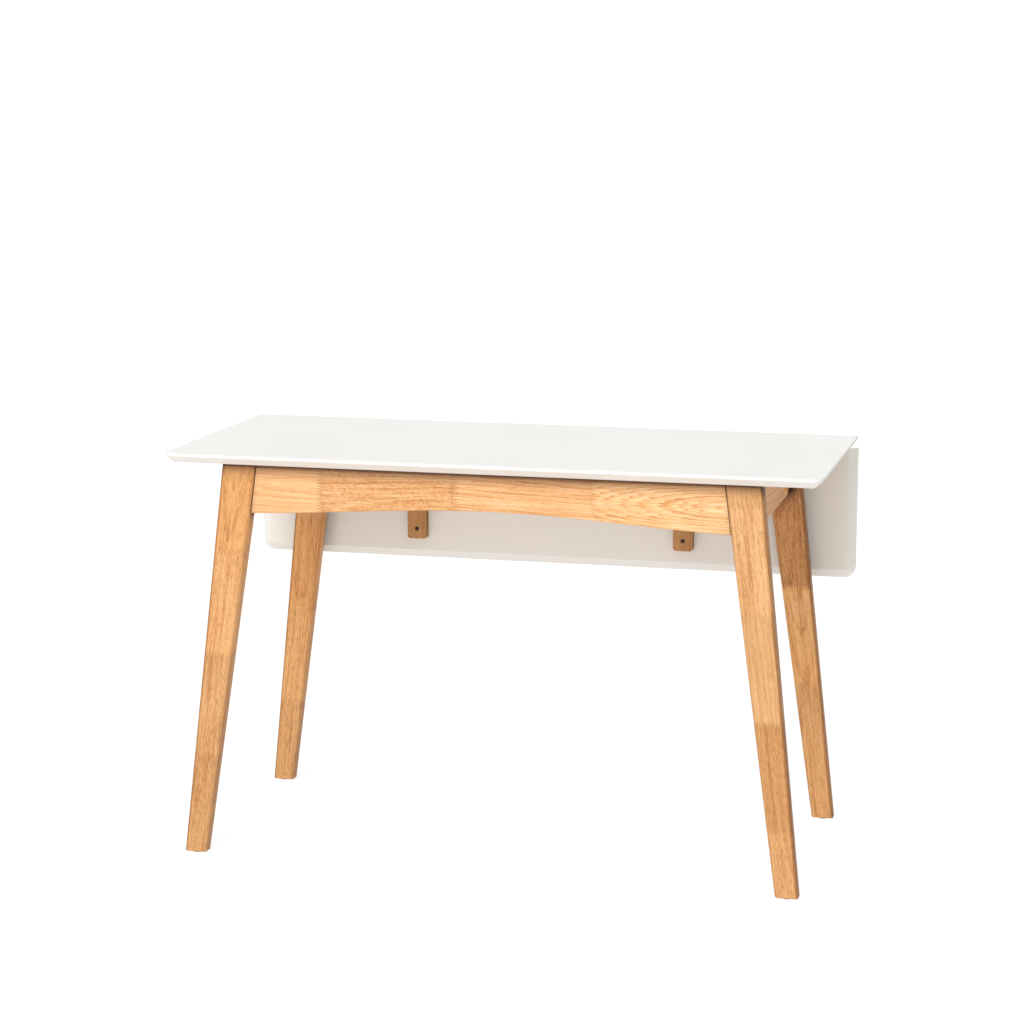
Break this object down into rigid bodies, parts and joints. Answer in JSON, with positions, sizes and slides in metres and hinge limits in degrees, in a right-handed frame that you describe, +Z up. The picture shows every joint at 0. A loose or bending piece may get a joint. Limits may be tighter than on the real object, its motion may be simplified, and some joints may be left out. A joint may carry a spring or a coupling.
{
  "type": "drop-leaf table",
  "caption": "Rectangular drop-leaf table with a white top, one hinged leaf hanging at the rear, arched wooden aprons and tapered, splayed legs.",
  "frame": {"origin": "on the floor, under the middle of the whole table with its leaf hanging", "axes": "+X along the table's length, +Y from the front edge towards the hanging leaf, +Z up"},
  "size_m": [1.2, 0.549, 0.75],
  "materials": {
    "white": "white satin lacquer on board",
    "frame_wood": "natural finger-jointed rubberwood, satin",
    "hidden_wood": "unfinished hardwood",
    "batten_wood": "hardwood, satin",
    "steel": "zinc plated",
    "black_rubber": "matte"
  },
  "bodies": {
    "frame": {"main_top": "white", "front_apron": "frame_wood", "rear_apron": "frame_wood", "left_apron": "frame_wood", "right_apron": "frame_wood", "leg_front_left": "frame_wood", "leg_front_right": "frame_wood", "leg_rear_left": "frame_wood", "leg_rear_right": "frame_wood", "foot_glides": "black_rubber", "corner_block_front_left": "hidden_wood", "corner_block_front_right": "hidden_wood", "corner_block_rear_left": "hidden_wood", "corner_block_rear_right": "hidden_wood", "corner_block_screws": "steel", "hanger_bolts": "steel", "hanger_washers": "steel", "hanger_nuts": "steel", "apron_dowels": "hidden_wood", "top_brackets": "steel", "top_bracket_screws": "steel", "hinge_top_plates": "steel", "hinge_pins": "steel", "hinge_top_screws": "steel", "lock_bracket_left": "steel", "lock_bracket_right": "steel", "lock_bracket_screws": "steel", "lock_pivot_pins": "steel", "bolt_housings": "steel", "leaf_bumpers": "black_rubber"},
    "leaf": {"drop_leaf": "white", "leaf_batten_left": "batten_wood", "leaf_batten_right": "batten_wood", "batten_screws": "steel", "hinge_leaf_plates": "steel", "hinge_leaf_screws": "steel", "lock_arm_left": "steel", "lock_arm_right": "steel", "lock_arm_screws": "steel"},
    "bolt_left": {"latch_bolt_left": "steel"},
    "bolt_right": {"latch_bolt_right": "steel"}
  },
  "joints": [
    {"name": "leaf_hinge", "type": "hinge", "parent": "frame", "child": "leaf", "pos_m": [0, 0.2525, 0.728], "axis": [1, 0, 0], "range_deg": [0, 90]},
    {"name": "bolt_left_pull", "type": "slide", "parent": "frame", "child": "bolt_left", "axis": [-1, 0, 0], "range_m": [0, 0.004], "stiffness_N_per_m": 400},
    {"name": "bolt_right_pull", "type": "slide", "parent": "frame", "child": "bolt_right", "axis": [1, 0, 0], "range_m": [0, 0.004], "stiffness_N_per_m": 400}
  ]
}
